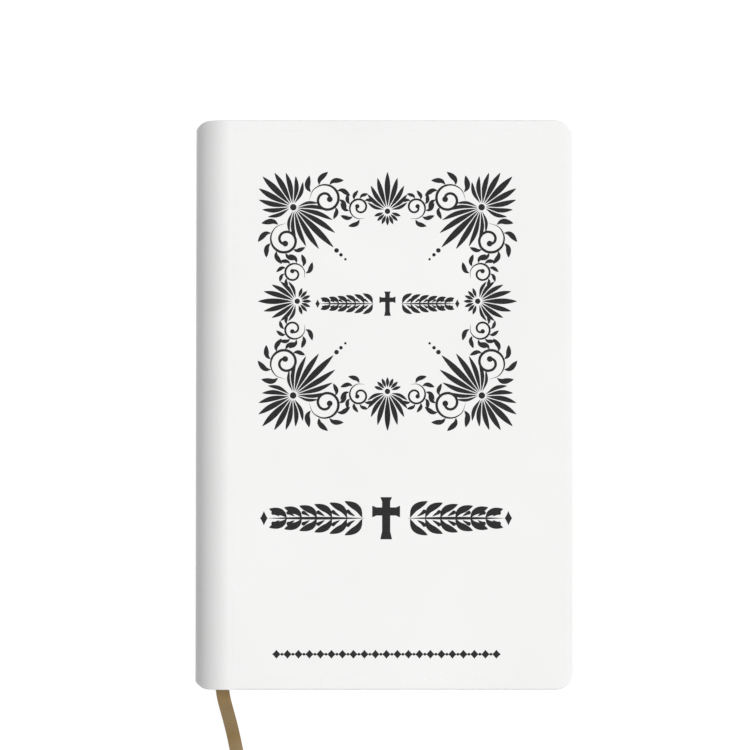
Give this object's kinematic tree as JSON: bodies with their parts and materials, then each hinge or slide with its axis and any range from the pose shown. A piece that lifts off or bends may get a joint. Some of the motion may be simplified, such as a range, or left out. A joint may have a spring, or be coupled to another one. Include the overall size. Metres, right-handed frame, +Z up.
{
  "type": "bible",
  "caption": "Small hardback bible in a white leather case with rounded spine, sewn sections, endpapers and a ribbon marker.",
  "frame": {"origin": "middle of the closed book's footprint, on the outside of its back cover", "axes": "+X from the spine to the fore-edge, +Y from the tail to the head, +Z up through the thickness to the front cover"},
  "size_m": [0.14, 0.2465, 0.03],
  "materials": {
    "case_leather": "white grained bonded leather, black printed ornament on the front",
    "page_paper": "thin smooth uncoated paper",
    "endpaper": "matt heavy paper",
    "grey_board": "matt grey board",
    "lining_card": "matt kraft card",
    "binding_cloth": "open weave starched cotton",
    "band_thread": "sewn white and gold cotton thread",
    "ribbon_satin": "satin ribbon, brown gold"
  },
  "bodies": {
    "back_quarter": {"section_01": "page_paper", "section_02": "page_paper", "section_03": "page_paper", "section_04": "page_paper", "section_05": "page_paper", "spine_cover": "case_leather", "spine_inlay": "lining_card", "spine_lining": "lining_card", "mull": "binding_cloth", "sewing_tape_1": "binding_cloth", "sewing_tape_2": "binding_cloth", "sewing_tape_3": "binding_cloth", "headband": "band_thread", "tailband": "band_thread"},
    "back_cover": {"back_cover_skin": "case_leather", "back_board": "grey_board", "back_pastedown": "endpaper"},
    "back_flyleaf": {"back_flyleaf": "endpaper"},
    "lower_middle": {"section_06": "page_paper", "section_07": "page_paper", "section_08": "page_paper", "section_09": "page_paper", "section_10": "page_paper", "ribbon_marker": "ribbon_satin"},
    "centre_leaf_1": {"centre_leaf_1": "page_paper"},
    "centre_leaf_2": {"centre_leaf_2": "page_paper"},
    "centre_leaf_3": {"centre_leaf_3": "page_paper"},
    "centre_leaf_4": {"centre_leaf_4": "page_paper"},
    "upper_middle": {"section_11": "page_paper", "section_12": "page_paper", "section_13": "page_paper", "section_14": "page_paper", "section_15": "page_paper"},
    "front_quarter": {"section_16": "page_paper", "section_17": "page_paper", "section_18": "page_paper", "section_19": "page_paper", "section_20": "page_paper"},
    "front_flyleaf": {"front_flyleaf": "endpaper"},
    "front_cover": {"front_cover_skin": "case_leather", "front_board": "grey_board", "front_pastedown": "endpaper"}
  },
  "joints": [
    {"name": "middle_opening", "type": "hinge", "parent": "lower_middle", "child": "upper_middle", "pos_m": [-0.07, 0, 0.015], "axis": [0, -1, 0], "range_deg": [0, 178], "deforming": ["spine_cover", "spine_inlay", "spine_lining", "mull", "sewing_tape_1", "sewing_tape_2", "sewing_tape_3", "headband", "tailband"]},
    {"name": "back_opening", "type": "hinge", "parent": "back_quarter", "child": "lower_middle", "pos_m": [-0.06871, 0, 0.00848], "axis": [0, 1, 0], "range_deg": [-90, 0]},
    {"name": "front_opening", "type": "hinge", "parent": "upper_middle", "child": "front_quarter", "pos_m": [-0.06877, 0, 0.02138], "axis": [0, 1, 0], "range_deg": [-90, 0]},
    {"name": "front_cover_hinge", "type": "hinge", "parent": "front_quarter", "child": "front_cover", "pos_m": [-0.057, 0, 0.03], "axis": [0, -1, 0], "range_deg": [0, 178]},
    {"name": "back_cover_hinge", "type": "hinge", "parent": "back_quarter", "child": "back_cover", "pos_m": [-0.057, 0, 0], "axis": [0, -1, 0], "range_deg": [-178, 0]},
    {"name": "centre_leaf_1_turn", "type": "hinge", "parent": "lower_middle", "child": "centre_leaf_1", "pos_m": [-0.07, 0, 0.015], "axis": [0, -1, 0], "range_deg": [0, 36]},
    {"name": "centre_leaf_2_turn", "type": "hinge", "parent": "lower_middle", "child": "centre_leaf_2", "pos_m": [-0.07, 0, 0.015], "axis": [0, -1, 0], "range_deg": [0, 72]},
    {"name": "centre_leaf_3_turn", "type": "hinge", "parent": "lower_middle", "child": "centre_leaf_3", "pos_m": [-0.07, 0, 0.015], "axis": [0, -1, 0], "range_deg": [0, 108]},
    {"name": "centre_leaf_4_turn", "type": "hinge", "parent": "lower_middle", "child": "centre_leaf_4", "pos_m": [-0.07, 0, 0.015], "axis": [0, -1, 0], "range_deg": [0, 144]},
    {"name": "front_flyleaf_turn", "type": "hinge", "parent": "front_quarter", "child": "front_flyleaf", "pos_m": [-0.0612, 0, 0.02748], "axis": [0, -1, 0], "range_deg": [0, 27]},
    {"name": "back_flyleaf_turn", "type": "hinge", "parent": "back_quarter", "child": "back_flyleaf", "pos_m": [-0.0612, 0, 0.00252], "axis": [0, -1, 0], "range_deg": [-27, 0]}
  ],
  "couplings": [
    {"joint": "centre_leaf_1_turn", "follows": "middle_opening", "ratio": 0.2},
    {"joint": "centre_leaf_2_turn", "follows": "middle_opening", "ratio": 0.4},
    {"joint": "centre_leaf_3_turn", "follows": "middle_opening", "ratio": 0.6},
    {"joint": "centre_leaf_4_turn", "follows": "middle_opening", "ratio": 0.8},
    {"joint": "front_flyleaf_turn", "follows": "front_cover_hinge", "ratio": 0.15},
    {"joint": "back_flyleaf_turn", "follows": "back_cover_hinge", "ratio": 0.15}
  ]
}
